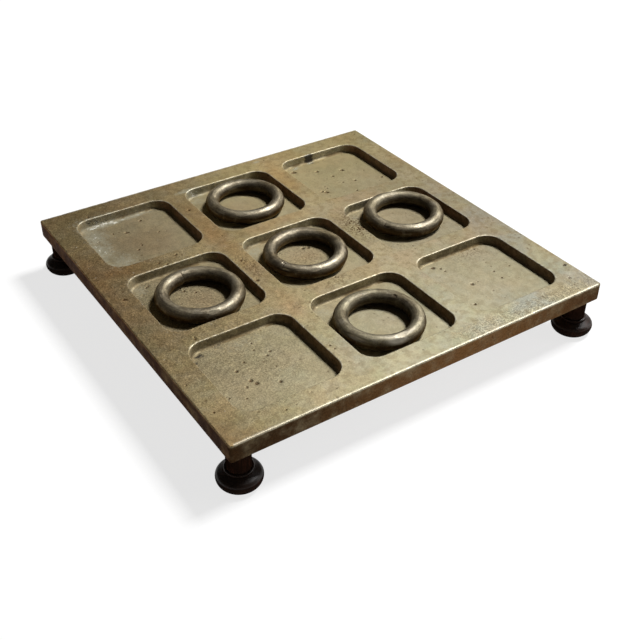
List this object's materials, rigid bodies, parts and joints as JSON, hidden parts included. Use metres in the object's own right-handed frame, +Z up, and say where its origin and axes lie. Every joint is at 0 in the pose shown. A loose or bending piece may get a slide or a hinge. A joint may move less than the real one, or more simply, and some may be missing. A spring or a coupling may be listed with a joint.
{
  "type": "tic-tac-toe board",
  "caption": "Square cast-metal tic-tac-toe board with round-cornered pockets in a grid, loose rings as playing pieces, and turned wooden feet screwed on from below.",
  "frame": {"origin": "on the table, under the middle of the board: the bottom centre of the bounding box", "axes": "+Z up, out of the pockets; +X to the right and +Y to the back, along the plate's edges"},
  "size_m": [0.2053, 0.2052, 0.0307],
  "materials": {
    "cast_brass": "aged sand-cast brass, dull and finely grained, mottled yellow-brown, with brighter worn edges",
    "dark_bronze": "dark brown bronze rod, half polished by handling, with a closed seam",
    "ebonised_wood": "turned hardwood stained brown-black, glossy finish",
    "screw_brass": "plain turned brass, dulled, with fine tool marks"
  },
  "bodies": {
    "board": {"plate": "cast_brass", "foot_front_left": "ebonised_wood", "foot_front_right": "ebonised_wood", "foot_back_right": "ebonised_wood", "foot_back_left": "ebonised_wood", "foot_screw_front_left": "screw_brass", "foot_screw_front_right": "screw_brass", "foot_screw_back_right": "screw_brass", "foot_screw_back_left": "screw_brass", "foot_washer_front_left": "screw_brass", "foot_washer_front_right": "screw_brass", "foot_washer_back_right": "screw_brass", "foot_washer_back_left": "screw_brass"},
    "ring_centre": {"ring_centre": "dark_bronze"},
    "ring_front": {"ring_front": "dark_bronze"},
    "ring_left": {"ring_left": "dark_bronze"},
    "ring_right": {"ring_right": "dark_bronze"},
    "ring_back": {"ring_back": "dark_bronze"}
  },
  "joints": [
    {"name": "lift_ring_centre", "type": "slide", "parent": "board", "child": "ring_centre", "axis": [0, 0, 1], "range_m": [0, 0.04]},
    {"name": "lift_ring_front", "type": "slide", "parent": "board", "child": "ring_front", "axis": [0, 0, 1], "range_m": [0, 0.04]},
    {"name": "lift_ring_left", "type": "slide", "parent": "board", "child": "ring_left", "axis": [0, 0, 1], "range_m": [0, 0.04]},
    {"name": "lift_ring_right", "type": "slide", "parent": "board", "child": "ring_right", "axis": [0, 0, 1], "range_m": [0, 0.04]},
    {"name": "lift_ring_back", "type": "slide", "parent": "board", "child": "ring_back", "axis": [0, 0, 1], "range_m": [0, 0.04]}
  ]
}
